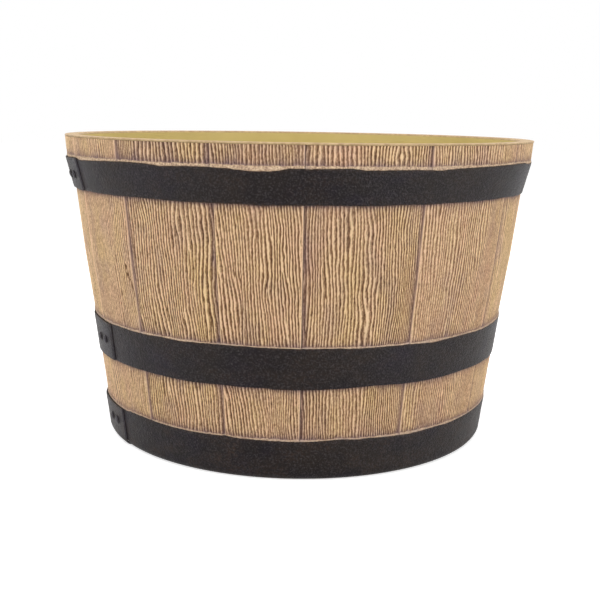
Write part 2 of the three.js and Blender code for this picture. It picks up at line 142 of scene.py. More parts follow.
def stray(azimuth, strays, seed):
    """Height by which a hoop's edge leaves its level: smooth noise all the way round, which
    gives way within four degrees of the listed strays to those, joined by straight lines."""
    turn = (np.asarray(azimuth) + 180) % 360 - 180
    listed = np.interp(turn, list(strays), list(strays.values()))
    front = np.clip((np.minimum(turn - min(strays), max(strays) - turn)) / 4 + 1, 0, 1)
    x, y = np.sin(np.radians(turn)), np.cos(np.radians(turn))
    loose = 0.3 + 0.7 * drift(9 * x + 20, 9 * y + 20, seed)
    fine = 0.2 * drift(70 * x + 100, 70 * y + 100, seed + 1)
    return loose * (1 - front) + listed * front + fine


def face_radius(z):
    """Radius of the staves' outer face at height z: a steep band at the rim, a slope behind the
    upper hoop, and a straight taper to the ground with a slight swell above the middle hoop."""
    rim = RIM_BAND_RADIUS - RIM_BAND_TAPER * (STAVE_TOP - z)
    slope = np.interp(z, UPPER, [WALL_TOP_RADIUS, SLOPE_TOP_RADIUS])
    straight = WALL_FOOT_RADIUS + (WALL_TOP_RADIUS - WALL_FOOT_RADIUS) * z / UPPER[0]
    swell = np.interp(z, [MIDDLE[1], BELLY_HEIGHT, UPPER[0]], [0, BELLY_SWELL, 0])
    return np.where(z >= UPPER[1], rim, np.where(z >= UPPER[0], slope, straight + swell))


def inner_radius(z):
    """Radius of the staves' inner face at height z: a straight line from foot to top."""
    return INNER_FOOT_RADIUS + (INNER_TOP_RADIUS - INNER_FOOT_RADIUS) * z / STAVE_TOP


def carved_grain(across, height, lean, groove, seed):
    """Carved grain from 0 in a groove to 1 on a ridge: the cosine of a phase that counts the
    lines across the board, with a second cosine that splits the ridges here and there.
    The lines' spacing drifts, the phase leans and wanders with smooth noise, and each fork adds
    or drops a line by the angle about its own point, drawn out lengthwise. Fine noise speckles
    the whole."""
    random = np.random.default_rng(seed)
    columns = across[0]
    wide, narrow = drift(columns / 12, 3.5, seed), drift(columns / 4, 8.5, seed)
    spacing = GRAIN_SPACING * np.exp(0.36 * wide + 0.14 * narrow)
    steps = np.diff(columns) / ((spacing[1:] + spacing[:-1]) / 2)
    cycles = np.concatenate([[0], np.cumsum(steps)])[None, :] + np.zeros_like(height)
    cycles += lean * height / GRAIN_SPACING
    for lines, width, length, own_seed in WANDERS:
        cycles += lines * drift(across / width, height / length, seed + own_seed)
    for _ in range(int(columns[-1] * STAVE_TOP / FORK_AREA)):
        x, z = random.uniform(0, columns[-1]), random.uniform(0, STAVE_TOP)
        turn = np.arctan2(across - x, (height - z) / FORK_STRETCH) / (2 * np.pi)
        cycles += turn * random.choice([-1, 1])
    split = 0.20 + 0.20 * drift(across / 10, height / 38, seed + 13)
    ridge = 0.52 + 0.5 * np.cos(2 * np.pi * cycles) + split * np.cos(4 * np.pi * cycles + 1.2)
    depth = groove + 0.30 * drift(across / 19, height / 55, seed + 4)
    speckle = 0.20 * groove * drift(across / 0.9, height / 1.9, seed + 5)
    middle = 0.60 + 0.20 * (GROOVE_SHARE - groove)
    return np.clip(middle + (ridge - 0.5) * depth + speckle, 0, 1.1)


def around(azimuth, radius, z):
    """Points at these azimuths, radii and heights about the planter's axis: the radius times
    the azimuth's sine to the right and its cosine to the front."""
    angle = np.radians(azimuth)
    return np.stack(np.broadcast_arrays(radius * np.sin(angle), -radius * np.cos(angle), z), -1)


def grid_faces(rows, columns, close_rows=False, close_columns=False):
    """Quads of a grid whose points run along its columns first. A closed direction joins its
    last line of points to its first."""
    down = np.arange(rows if close_rows else rows - 1)[:, None]
    right = np.arange(columns if close_columns else columns - 1)[None, :]
    below, beside = (down + 1) % rows, (right + 1) % columns
    return np.stack([down * columns + right, down * columns + beside,
                     below * columns + beside, below * columns + right], -1).reshape(-1, 4).tolist()


def end_caps(rows, columns):
    """The two faces that close a loop of rows at its first column and at its last."""
    first = np.arange(rows) * columns
    return [first.tolist(), (first + columns - 1)[::-1].tolist()]


def make_piece(name, points, faces, material, node, marks=(), sharp=40, weld=False):
    """A mesh of these points, in mm, which stands for a CAD node. Marks are numbers on its
    points that its material reads. Edges sharper than the given degrees stay crisp. A welded
    piece has points that lie together joined, and its faces turned outwards."""
    mesh = bpy.data.meshes.new(name)
    mesh.from_pydata((points.reshape(-1, 3) * 0.001).tolist(), [], faces)
    mesh.validate()
    if weld:
        shell = bmesh.new()
        shell.from_mesh(mesh)
        bmesh.ops.remove_doubles(shell, verts=shell.verts, dist=2e-6)
        bmesh.ops.recalc_face_normals(shell, faces=shell.faces)
        shell.to_mesh(mesh)
        shell.free()
    mesh.shade_smooth()
    mesh.set_sharp_from_angle(angle=np.radians(sharp))
    for mark, values in dict(marks).items():
        attribute = mesh.attributes.new(mark, "FLOAT", "POINT")
        attribute.data.foreach_set("value", np.ascontiguousarray(values, np.float32).ravel())
    mesh.materials.append(material)
    piece = bpy.data.objects.new(name, mesh)
    bpy.context.scene.collection.objects.link(piece)
    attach(piece, "root")
    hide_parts(node)


def colour(red, green, blue):
    """Screen values from 0 to 255 as the linear colour that a shader reads."""
    screen = np.array([red, green, blue]) / 255
    linear = np.where(screen <= 0.04045, screen / 12.92, ((screen + 0.055) / 1.055) ** 2.4)
    return (*linear.tolist(), 1.0)


class Recipe:
    """A material's node tree, built from its inputs to its Principled shader."""

    def __init__(self, name, **constants):
        self.material = bpy.data.materials.new(name)
        self.material.use_nodes = True
        self.tree = self.material.node_tree
        self.shader = self.tree.nodes["Principled BSDF"]
        for socket, value in constants.items():
            self.shader.inputs[socket.replace("_", " ")].default_value = value
        self.place = self.add("ShaderNodeTexCoord").outputs["Object"]

    def add(self, kind, settings=(), **inputs):
        """A node with these settings. Its inputs go by name, or as i0, i1, i2 by number."""
        made = self.tree.nodes.new(kind)
        for key, value in dict(settings).items():
            setattr(made, key, value)
        for key, value in inputs.items():
            socket = int(key[1:]) if key[1:].isdigit() else key.replace("_", " ")
            self.feed(made.inputs[socket], value)
        return made

    def feed(self, socket, value):
        if isinstance(value, bpy.types.NodeSocket):
            self.tree.links.new(value, socket)
        else:
            socket.default_value = value

    def mark(self, name):
        return self.add("ShaderNodeAttribute", {"attribute_name": name}).outputs["Fac"]

    def axis(self, name):
        return self.add("ShaderNodeSeparateXYZ", Vector=self.place).outputs[name]

    def noise(self, per_metre, detail=2.0, roughness=0.5):
        """Noise on the piece with so many cells to a metre along each axis."""
        spread = self.add("ShaderNodeMapping", Vector=self.place, Scale=per_metre)
        return self.add("ShaderNodeTexNoise", Vector=spread.outputs[0], Scale=1.0,
                        Detail=detail, Roughness=roughness).outputs["Fac"]

    def maths(self, operation, a, b=0.0, c=0.0, clamp=False):
        return self.add("ShaderNodeMath", {"operation": operation, "use_clamp": clamp},
                        i0=a, i1=b, i2=c).outputs[0]

    def ramp(self, factor, *stops):
        """A colour that runs through the stops, each a position and its colour."""
        made = self.add("ShaderNodeValToRGB", Fac=factor)
        elements = made.color_ramp.elements
        for _ in stops[2:]:
            elements.new(0.5)
        for element, (position, shade) in zip(elements, stops):
            element.position, element.color = position, shade
        return made.outputs["Color"]

    def blend(self, factor, a, b, mode="MIX"):
        made = self.add("ShaderNodeMix", {"data_type": "RGBA", "blend_type": mode})
        for socket, value in ((made.inputs[0], factor), (made.inputs[6], a), (made.inputs[7], b)):
            self.feed(socket, value)
        return made.outputs[2]

    def bump(self, height, distance, strength=1.0):
        made = self.add("ShaderNodeBump", Height=height, Distance=distance, Strength=strength)
        self.tree.links.new(made.outputs[0], self.shader.inputs["Normal"])

    def finish(self, **sockets):
        for socket, value in sockets.items():
            self.feed(self.shader.inputs[socket.replace("_", " ")], value)
        return self.material


oak = Recipe("washed_oak", Specular_IOR_Level=0.2)
fleck = oak.noise((800, 800, 420), 3.0, 0.6)
cut = oak.maths("MULTIPLY_ADD", oak.maths("SUBTRACT", fleck, 0.5), 0.9, oak.mark("grain"))
plain = oak.ramp(cut, (0.06, colour(84, 54, 33)), (0.34, colour(128, 95, 66)),
                 (0.62, colour(181, 147, 113)), (0.95, colour(238, 204, 167)))
mauve = oak.ramp(cut, (0.06, colour(66, 46, 46)), (0.45, colour(108, 82, 78)),
                 (0.95, colour(176, 146, 136)))
patch = oak.noise((34, 34, 13), 3.0, 0.65)
warmth = oak.ramp(oak.maths("ADD", patch, oak.mark("tone")), (0.30, (0.98, 0.895, 0.89, 1)),
                  (0.50, (1, 0.98, 0.92, 1)), (0.68, (1.0, 1.0, 0.83, 1)))
plain = oak.blend(1.0, plain, warmth, "MULTIPLY")
# The wash mark blends towards mauve. It holds real dark wash, plus painted shade by the hoops and in
# the let-back joints.
stained_and_shaded = oak.blend(oak.mark("wash_and_shade"), plain, mauve)
cream = oak.ramp(oak.noise((600, 600, 600), 2.0), (0.32, colour(140, 108, 88)),
                 (0.50, colour(192, 162, 132)), (0.68, colour(228, 202, 166)))
cream = oak.blend(oak.mark("wash_and_shade"), cream, colour(178, 155, 141))
oak.bump(oak.noise((1500, 1500, 600), 3.0, 0.6), 0.0004, 0.6)
washed_oak = oak.finish(
    Base_Color=oak.blend(oak.mark("ledge"), stained_and_shaded, cream),
    Roughness=oak.maths("MULTIPLY_ADD", cut, -0.12, 0.74))


def stave_rows(azimuth, across, number):
    """Rows up a stave's outer face, each as heights, radii, how grained it is, how much it is a
    ledge, and its dark wash with painted shade near the hoops. They lie along panels between the
    hoops, which carry the grain, along the ledge of wood above each hoop, which follows the hoop's
    edge, and flat behind the hoops."""
    seed = 40 * number
    rows = []
    flat = np.zeros_like(azimuth)

    def lay(z, radius, grained=0.0, ledge=0.0, wash_and_shade=0.55):
        rows.append([flat + z, flat + radius, flat + grained, flat + ledge, flat + wash_and_shade])

    def ledge_over(hoop_top, strays, edge_seed, thickness, stain):
        """A lumpy roll of wood from the hoop's straying top edge up to the panel."""
        foot = hoop_top + stray(azimuth, strays, edge_seed) + 0.12
        uneven = 0.6 * drift(azimuth * 1.7 + 300, 0, edge_seed + 5)
        top = np.maximum(hoop_top + thickness, foot + 0.6 * thickness) + uneven
        lay(foot - 0.3, face_radius(hoop_top) - SEAT_DEPTH)
        lumps = 0.18 * drift(azimuth * 2.6 + 300, 0.5, edge_seed + 6)
        stain = stain * (0.7 + 0.5 * drift(azimuth / 3 + 300, 0.5, edge_seed + 7))
        for share, rise in LEDGE_ROLL:
            radius = face_radius(hoop_top + 3) + rise + lumps * (rise > 0.3)
            lay(foot + share * (top - foot), radius, 0, 1 if share < 0.8 else 0.7, stain)
        return top

    def panel(low, high, count, at_rim=False):
        """Grained rows from one edge up to the next, with painted shade in the dark wash just above
        the ledge below and under the foot of the hoop above. At the rim the ridges come nearly flush
        with the tub's lip, and some staves are streaked."""
        shade_reach = 3.6 + 3.4 * drift(across / 15, 0.5, seed + 9)
        streaks = RIM_STAINS.get(number, 0) * (0.8 + 0.6 * drift(across / 9, 0.5, seed + 11))
        for share in np.linspace(0, 1, count):
            z = low + share * (high - low)
            # Painted shade: darker wash in the crease just above the ledge and, below the rim, just
            # under the foot of the hoop above.
            wash_and_shade = 0.95 * np.exp(-(z - low) / np.maximum(shade_reach, 1.8))
            if at_rim:
                wash_and_shade = wash_and_shade + streaks
            else:
                wash_and_shade = wash_and_shade + 1.1 * np.exp(-(high - z) / np.maximum(0.8 * shade_reach, 2.2))
            lay(z, face_radius(z) + 0.5 * at_rim, 1, 0.2 * (share == 0), wash_and_shade)

    def panel_to_hoop(low, hoop, strays, edge_seed, count):
        """A panel up to the hoop's straying foot, and the face let in behind that hoop."""
        high = hoop[0] + stray(azimuth, strays, edge_seed) - 0.3
        panel(low, high, count)
        lay(high + 0.1, face_radius(hoop[0]) - SEAT_DEPTH)

    for z, radius in STAVE_FOOT:
        lay(z, radius)
    top = ledge_over(LOWER[1], LOWER_TOP_STRAYS, LOWER_SEEDS[0], 2.2, 0.9)
    panel_to_hoop(top, MIDDLE, MIDDLE_FOOT_STRAYS, MIDDLE_SEEDS[1], LOW_ROWS)
    top = ledge_over(MIDDLE[1], MIDDLE_TOP_STRAYS, MIDDLE_SEEDS[0], 2.2, 0.8)
    panel_to_hoop(top, UPPER, UPPER_FOOT_STRAYS, UPPER_SEEDS[1], WALL_ROWS)
    top = ledge_over(UPPER[1], UPPER_TOP_STRAYS, UPPER_SEEDS[0], 3.2, 0.2)
    panel(top, STAVE_TOP, RIM_ROWS, at_rim=True)
    return np.array(rows).transpose(1, 0, 2)


def worn_sides(grain, from_edge, proud):
    """The grain, the lift in mm and the extra wash that bell curves about its two joints give a
    board: a worn, rounded ridge where it stands proud, or else pooled dark wash and painted shade
    in the recess where it is let back."""
    if proud:
        rub = np.exp(-(np.maximum(from_edge - 1.0, 0) / 0.9) ** 2)
        lift = 0.12 * rub - 1.3 * np.clip(1 - from_edge / 1.0, 0, 1) ** 2
        return grain + (1.02 - grain) * rub * 0.8, lift, 0.85 * np.clip(1 - from_edge / 0.7, 0, 1)
    # Painted shade: the let-back edge is darkened in its recess beside the proud board, along with
    # the pooled wash.
    pooled_shade = np.exp(-(from_edge / 4.2) ** 2)
    lift = -0.28 - 0.75 * np.exp(-(from_edge / 2.6) ** 2)
    return grain * (1 - 0.42 * pooled_shade) + 0.12 * pooled_shade, lift, 0.55 * pooled_shade


def cracked_knots(grain, lift, board, height, first):
    """The grain and lift with bell-shaped pits at the knots, and with a thin dark crack, a bell
    curve across its path, that runs down from them to the joint."""
    for azimuth, z, size in KNOTS:
        away = np.hypot((board - np.radians(azimuth - first) * GIRTH_RADIUS), (height - z) / 1.6)
        pit = np.exp(-(away / size) ** 2)
        grain, lift = grain * (1 - pit), lift - 1.2 * pit
    path = np.radians(np.interp(height, CRACK_HEIGHTS, CRACK_AZIMUTHS) - first) * GIRTH_RADIUS
    in_reach = (height > CRACK_HEIGHTS[0] - 2) & (height < CRACK_HEIGHTS[-1] + 1)
    line = np.exp(-((board - path) / 0.7) ** 2) * in_reach
    return grain * (1 - 0.9 * line), lift - 0.8 * line


def stave_grid(first, last, number):
    """One stave from joint to joint as a closed loop of rows, up its grained outer face and
    down its plain inner one, with the marks that its material reads."""
    width = np.radians(last - first) * GIRTH_RADIUS - 2 * STAVE_SIDE_GAP
    across = np.concatenate([[0, 0.25, 0.6], np.linspace(1.05, width - 1.05, int(width / 0.5)),
                             [width - 0.6, width - 0.25, width]])
    azimuth = first + np.degrees((STAVE_SIDE_GAP + across) / GIRTH_RADIUS)
    seed = 40 * number
    height, radius, grained, ledge, wash_and_shade = stave_rows(azimuth, across, number)
    board = np.broadcast_to(across, height.shape)
    grain = carved_grain(board, height, STEEPER_LEAN.get(number, GRAIN_LEAN),
                         SHALLOWER_GROOVES.get(number, GROOVE_SHARE), seed)
    # Painted shade: where the wash mark is high, also by the hoops and in the let-back joints, the
    # grain is darkened further.
    grain = grain * (1 - 0.25 * np.clip(wash_and_shade, 0, 1) * grained)
    grain, lift, shade = worn_sides(grain, np.minimum(board, width - board), number % 2 == 0)
    smudge = np.clip(drift(board / 13, height / 22, seed + 12) - 0.25, 0, 1) * grained
    wash_and_shade = wash_and_shade * (0.75 + 0.25 * drift(board / 4, height / 9, seed + 10)) + shade + 0.4 * smudge
    if number == 0:
        grain, lift = cracked_knots(grain, lift, board, height, first)
    radius = radius + grained * (lift + GRAIN_DEPTH * (grain - 1))
    radius = radius + (ledge > 0.5) * np.minimum(lift, 0) * 0.5

    inside = np.array([(z, inner_radius(z)) for z in (STAVE_TOP, 180)] + CROZE
                      + [(z, inner_radius(z)) for z in (14, 2)] + [(0, INNER_FOOT_RADIUS + 2)])
    height = np.vstack([height, np.repeat(inside[:, :1], len(azimuth), 1)])
    radius = np.vstack([radius, np.repeat(inside[:, 1:], len(azimuth), 1)])
    blank = np.zeros((len(inside), len(azimuth)))
    tone = np.random.default_rng(seed + 1).uniform(-0.06, 0.06)
    marks = {"grain": np.vstack([np.where(grained > 0, grain, 0.62), blank + 0.6]),
             "wash_and_shade": np.vstack([np.clip(wash_and_shade, 0, 1), blank + 0.35]),
             "ledge": np.vstack([ledge, blank]),
             "tone": np.full(height.shape, tone)}
    return around(azimuth, radius, height), marks


stave_joints = FIRST_JOINT + 360 * np.cumsum([0, *STAVE_WIDTHS]) / sum(STAVE_WIDTHS)
for number, (first, last) in enumerate(zip(stave_joints[:-1], stave_joints[1:])):
    points, marks = stave_grid(first, last, number)
    rows, columns = points.shape[:2]
    faces = grid_faces(rows, columns, close_rows=True) + end_caps(rows, columns)
    make_piece(f"oak_stave_{number + 1:02d}", points, faces, washed_oak,
               f"stave_{number + 1:02d}", marks)

# Hoops. Three strips of steel 1.5 mm thick, dented all over with a fine hammer, painted a
# soft black, drawn tight round the staves and lapped at the left. The lower one is turned in
# round the staves' ends. A hoop's upper edge follows the ledge of wood that lies on it.

HOOP_THICKNESS, HOOP_PROUD, LAYER_STEP = 1.5, 1.1, 1.8              # mm
JOG_LENGTH = 18                         # mm, over which a hoop climbs over its own end
STRIP_COLUMNS = 1250                    # of points, once round and over the lap
FOOT_CENTRE, FOOT_RADIUS = (208.32, 8.0), 8.0                       # mm, of the turned-in edge
FOOT_TURN, UNEVEN_TURN = 72, 3          # degrees that it is turned in, and how that varies
TUCKED_TURN = 0.07                      # the share of that turn at the tucked end
FOOT_GIRTH = 215                        # mm, radius where the lower hoop's dents are measured
BEND_ROWS = 8                           # of points through the turn
EDGE_FALLS = (0.55, 0.1)                # mm that a dressed edge falls away, and one row in from it
LAP_MARGIN = 0.6                        # mm, from the top of the step to the tucked end
HOOP_LAPS = {"upper": (-61.1, 50), "middle": (-56.5, 58), "lower": (-56.5, 72)}   # degrees, mm
LAP_END_HIGHLIGHT = {"upper": 0.3, "middle": 0.1, "lower": 0.25}             # how much painted highlight lies along the outer end
LAP_EASE = {"upper": 1.7, "middle": 6, "lower": 1.7}                # mm that it is hammered down over
HOOP_RUST = {"upper": 0.35, "middle": 0.35, "lower": 0.75}          # how much brown shows on it
CREASE_HIGHLIGHT_AZIMUTH = -50.2                   # of a painted highlight line across the lower hoop


def hoop_outer(z):
    """Radius of a hoop's outer face at height z, where it lies in one layer."""
    return face_radius(z) + HOOP_PROUD


def hoop_columns(lap, length, middle):
    """Azimuths along a strip from its tucked end, once round and out over that end, with the
    step outwards that each one has where the strip climbs over its own end by a cubic step."""
    to_degrees = np.degrees(1 / hoop_outer(middle))
    margin, inner_end = LAP_MARGIN * to_degrees, lap - length * to_degrees
    over = inner_end + 360 - margin
    azimuth = np.unique(np.concatenate([
        np.linspace(inner_end, lap + 360, STRIP_COLUMNS),
        lap + margin * np.array([1, 1.33, 1.66, 2]),
        lap + 360 - to_degrees * np.array([0.25, 0.5, 0.8, 1.2, 1.7])]))
    climb = np.clip((azimuth - over) / (JOG_LENGTH * to_degrees) + 1, 0, 1)
    return azimuth, margin, LAYER_STEP * climb ** 2 * (3 - 2 * climb)


def dents(azimuth, z, radius, seed):
    """Depth of the hammer's marks, in mm: two sizes of smooth noise on the strip's surface."""
    along = np.radians(azimuth) * radius
    return 0.10 * drift(along / 5.5, z / 5, seed) + 0.10 * drift(along / 2.6, z / 2.6, seed + 1)


def dressed_strip(azimuth, low, high, count, dent_seed):
    """Heights and radii of a plain strip between its two edges: rows up its dented face, with
    the edges dressed round, and down its smooth back, and how many of them lie outside."""
    z = low + np.linspace(0, 1, count)[:, None] * (high - low)
    face = hoop_outer(z) + dents(azimuth, z, GIRTH_RADIUS, dent_seed)
    z = np.vstack([low, low + 0.05, z[1:-1], high - 0.05, high, high, (low + high) / 2, low])
    far, near = EDGE_FALLS
    outer = np.vstack([face[0] - far, face[0] - near, face[1:-1], face[-1] - near, face[-1] - far])
    inner = hoop_outer(z[-3:]) - HOOP_THICKNESS
    return z, np.vstack([outer, inner]), len(outer)


def footed_strip(azimuth, uncovered, margin, high, count, seed, dent_seed):
    """Heights and radii of the strip that is turned in under the staves: an arc about the foot's
    centre, the dented face above it, and back down inside by the same arc. Its tucked end, up to
    the azimuth where the lap uncovers it, is hardly turned in."""
    centre, level = FOOT_CENTRE
    turned_in = np.clip((azimuth - uncovered) / margin, TUCKED_TURN, 1)
    short = UNEVEN_TURN * (turned_in == 1) * (1 + drift(azimuth / 3 + 50, 0, seed)) / 2
    swing = -np.radians(FOOT_TURN * turned_in - short) * np.linspace(1, 0, BEND_ROWS)[:, None]
    rise = np.linspace(0, 1, count)[1:, None] * (high - level)
    z = np.vstack([level + FOOT_RADIUS * np.sin(swing), level + rise])
    outer = np.vstack([centre + FOOT_RADIUS * np.cos(swing), hoop_outer(z[BEND_ROWS:])])
    outer = outer + dents(azimuth, z, FOOT_GIRTH, dent_seed) * np.clip(z / 6, 0, 1)
    outer[0] -= 0.2                     # both edges are dressed
    outer[-1] -= 0.45
    back, swing = FOOT_RADIUS - HOOP_THICKNESS, swing[::-1]
    inside = np.vstack([high, (high + level) / 2])
    inner = np.vstack([hoop_outer(inside) - HOOP_THICKNESS, centre + back * np.cos(swing)])
    z = np.vstack([z, inside, level + back * np.sin(swing)])
    return z, np.vstack([outer, inner]), len(outer)


black = Recipe("black_paint", Specular_IOR_Level=0.09)
mottle = black.noise((14, 14, 22), 3.0, 0.65)
pebble = black.noise((560, 560, 560), 2.0, 0.6)
coat = black.ramp(mottle, (0.32, colour(27, 21, 30)), (0.50, colour(26, 21, 22)),
                  (0.68, colour(35, 28, 24)))
rust = black.ramp(black.noise((330, 330, 330), 2.0), (0.38, colour(34, 29, 28)),
                  (0.66, colour(66, 50, 40)))
coat = black.blend(black.mark("brown"), coat, rust)
# Painted highlight: the tops of the hammer's dents are lightened to grey, standing in for their
# sheen.
speck_highlights = black.maths("MULTIPLY", black.maths("SUBTRACT", pebble, 0.48), 2.0, clamp=True)
coat = black.blend(speck_highlights, coat, colour(80, 74, 76))
# Painted highlight: where this mark is high the paint turns a cool light grey, along the laps' ends,
# on a line across the lower hoop and on the rivets' crowns.
coat = black.blend(black.mark("painted_highlight"), coat, colour(104, 102, 110))
black.bump(pebble, 0.0012, 1.0)
black_paint = black.finish(
    Base_Color=coat, Roughness=black.maths("MULTIPLY_ADD", mottle, 0.2, 0.34))

# Each hoop's foot and top, how its edges stray, its seeds, and its rows of points.
HOOPS = [
    ("upper", UPPER, UPPER_TOP_STRAYS, UPPER_FOOT_STRAYS, UPPER_SEEDS, 20),
    ("middle", MIDDLE, MIDDLE_TOP_STRAYS, MIDDLE_FOOT_STRAYS, MIDDLE_SEEDS, 24),
    ("lower", LOWER, LOWER_TOP_STRAYS, None, LOWER_SEEDS, 18),
]
for number, (name, (foot, top), top_strays, foot_strays, seeds, count) in enumerate(HOOPS):
    lap, lap_length = HOOP_LAPS[name]
    azimuth, margin, layer = hoop_columns(lap, lap_length, (foot + top) / 2)
    high = top + stray(azimuth, top_strays, seeds[0])
    if foot_strays:
        low = foot + stray(azimuth, foot_strays, seeds[1])
        z, radius, outer_rows = dressed_strip(azimuth, low, high, count, 60 + number)
        from_edge = np.minimum(high - z, z - foot)
    else:
        z, radius, outer_rows = footed_strip(
            azimuth, lap + margin, margin, high, count, seeds[1], 60 + number)
        from_edge = high - z
    from_end = np.radians(lap + 360 - azimuth) * hoop_outer((foot + top) / 2)
    ease = 1.1 * np.clip(1 - from_end / LAP_EASE[name], 0, 1) ** 2
    radius = radius + layer - ease * (np.arange(len(radius))[:, None] < outer_rows)
    blotches = 0.25 + 0.5 * drift(azimuth / 4 + 50, z / 9, 70 + number)
    brown = np.clip(blotches, 0, 1) * HOOP_RUST[name]
    brown = np.maximum(brown, np.exp(-np.maximum(from_edge, 0) / 0.9))
    # Painted highlight: a lighter line along the lap's outer end, where its rounded edge would catch
    # the light.
    painted_highlight = LAP_END_HIGHLIGHT[name] * np.exp(-(from_end / 1.2) ** 2) + 0 * z
    if name == "lower":                 # a painted highlight line, and rust beside the lap
        painted_highlight = painted_highlight + 0.16 * np.exp(-((azimuth - 360 - CREASE_HIGHLIGHT_AZIMUTH) / 0.8) ** 2)
        rust_patch = np.exp(-((from_end - 6) / 5) ** 2 - ((z - 15) / 10) ** 2)
        rust_patch = 1.3 * rust_patch * (0.7 + 0.5 * drift(azimuth, z / 4, 74))
        brown = np.clip(np.maximum(brown, rust_patch), 0, 1)
    rows, columns = z.shape
    faces = grid_faces(rows, columns, close_rows=True) + end_caps(rows, columns)
    make_piece(f"{name}_hoop_strip", around(azimuth, radius, z), faces, black_paint,
               f"{name}_hoop", {"brown": brown, "painted_highlight": painted_highlight}, sharp=50)

# Rivets. Two steel rivets through each lap, their heads peened to low domes on the outside
# and their tails spread flush inside, painted over with the hoop.

RIVET_SETBACKS = (19, 37)               # mm from the hoop's outer end
RIVET_HEAD_RADIUS, RIVET_HEAD_FOOT, RIVET_HEAD_HEIGHT = 4.6, 3.6, 1.8   # mm
RIVET_OUTLINE = [(0.5, 0.0), (3.4, 0.0), (2.2, 1.1), (2.2, 3.55), (4.35, 3.55), (4.6, 3.75)]   # mm
DOME_SWING = (46, 86)                   # degrees that the dome's arc runs through


def rivet_grid(azimuth, z, seed):
    """A rivet's outline, spread flush at the tail and closed by the arc of a dome, turned about
    an axis that stands square on the hoop, with the dome dented a little by the hammer."""
    arc_radius = (RIVET_HEAD_RADIUS ** 2 + RIVET_HEAD_HEIGHT ** 2) / (2 * RIVET_HEAD_HEIGHT)
    arc_centre = RIVET_HEAD_FOOT + RIVET_HEAD_HEIGHT - arc_radius
    swing = np.radians(np.linspace(*DOME_SWING, 9))
    dome = np.stack([arc_radius * np.cos(swing), arc_radius * np.sin(swing) + arc_centre], 1)
    outline = np.vstack([RIVET_OUTLINE, dome])
    turn = np.radians(np.arange(0, 360, 10))
    across, height = outline[:, :1], outline[:, 1:] + 0 * turn
    right, up = across * np.cos(turn), across * np.sin(turn)
    height = height + (height > 3.8) * 0.10 * drift(right / 1.6 + 20, up / 1.6 + 20, seed)
    slope = (hoop_outer(z + 1) - hoop_outer(z - 1)) / 2
    outward = around(azimuth, 1.0, -slope) / np.hypot(1, slope)
    aside = around(azimuth + 90, 1.0, 0.0)
    upward = np.cross(aside, outward)
    seat = around(azimuth, hoop_outer(z) - HOOP_THICKNESS, z)
    return seat + right[..., None] * aside + up[..., None] * upward + height[..., None] * outward


for name, (foot, top), *_ in HOOPS:
    for number, setback in enumerate(RIVET_SETBACKS):
        middle = (foot + top) / 2
        azimuth = HOOP_LAPS[name][0] - np.degrees(setback / hoop_outer(middle))
        points = rivet_grid(azimuth, middle, 80 + number)
        rows, columns = points.shape[:2]
        caps = [list(range(columns))[::-1], list(range((rows - 1) * columns, rows * columns))]
        # Painted highlight: each rivet's dome lightens towards its crown.
        dome_highlight = 0.5 * np.repeat(np.linspace(0, 1, rows) ** 3, columns)
        make_piece(f"{name}_rivet_{number + 1}", points,
                   grid_faces(rows, columns, close_columns=True) + caps, black_paint,
                   f"{name}_hoop_rivet_{number + 1}",
                   {"brown": np.full(rows * columns, 0.1), "painted_highlight": dome_highlight},
                   sharp=60, weld=True)

# Head. Five oak boards, bevelled round the edge into the groove in the staves, doweled edge
# to edge and bored with six drains. They are left unwashed, as sawn, and stay as in the CAD.

HEAD_RADIUS = 0.001 * (CROZE_RADIUS - 1)                            # metres
HEAD_BOARD = 2 * HEAD_RADIUS / 5                                    # metres, one board's width

raw = Recipe("raw_oak", Specular_IOR_Level=0.25)
rings = raw.noise((9, 260, 260), 4.0, 0.6)
fibre = raw.noise((40, 1200, 1200), 2.0)
boards_along = raw.maths("DIVIDE", raw.maths("ADD", raw.axis("Y"), HEAD_RADIUS), HEAD_BOARD)
tone = raw.add("ShaderNodeTexWhiteNoise", {"noise_dimensions": "1D"},
               W=raw.maths("FLOOR", boards_along)).outputs["Value"]
sawn = raw.ramp(raw.maths("MULTIPLY_ADD", fibre, 0.35, raw.maths("MULTIPLY", rings, 0.75)),
                (0.32, colour(104, 78, 54)), (0.50, colour(150, 120, 86)),
                (0.68, colour(186, 156, 116)))
sawn = raw.blend(raw.maths("MULTIPLY", tone, 0.7), sawn, colour(118, 90, 62))
raw.bump(raw.maths("ADD", rings, fibre), 0.0005, 0.8)
raw_oak = raw.finish(Base_Color=sawn, Roughness=0.82)

dowel = Recipe("turned_dowel", Specular_IOR_Level=0.25)
turned_dowel = dowel.finish(
    Base_Color=dowel.ramp(dowel.noise((900, 60, 900), 2.0), (0.35, colour(168, 138, 98)),
                          (0.65, colour(205, 178, 138))), Roughness=0.75)

for name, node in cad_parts.items():
    if name.startswith("head_"):
        node.material_slots[0].material = turned_dowel if "dowel" in name else raw_oak

# Inner tub. One smooth ochre moulding that drops into the staves: a drained floor that lies
# on the head, a wall that follows the boards, and a plain rounded lip that rolls out over
# their tops and is rubbed to a duller tan.

TUB_FLOOR = (40.3, 43.8)                # mm, its underside and its top
TUB_INSET, TUB_WALL = 0.8, 3.0          # mm inside the staves, and its thickness
WALL_LEAN = 7.946                       # degrees from upright
LIP_FOOT = HEIGHT - 2                   # mm, its underside
LIP_MIDDLE, LIP_CROWN = RIM_RADIUS - 7.2, 0.12                      # mm, and its fall to the sides
DRAIN_CIRCLE, DRAIN_RADIUS, DRAIN_EASE = 120.03, 6.0, 0.5           # mm
DRAIN_BAND = (95, 145)                  # mm, radii that the drains' sectors lie between
ALL_ROUND = np.arange(0, 360, 1.0)      # degrees

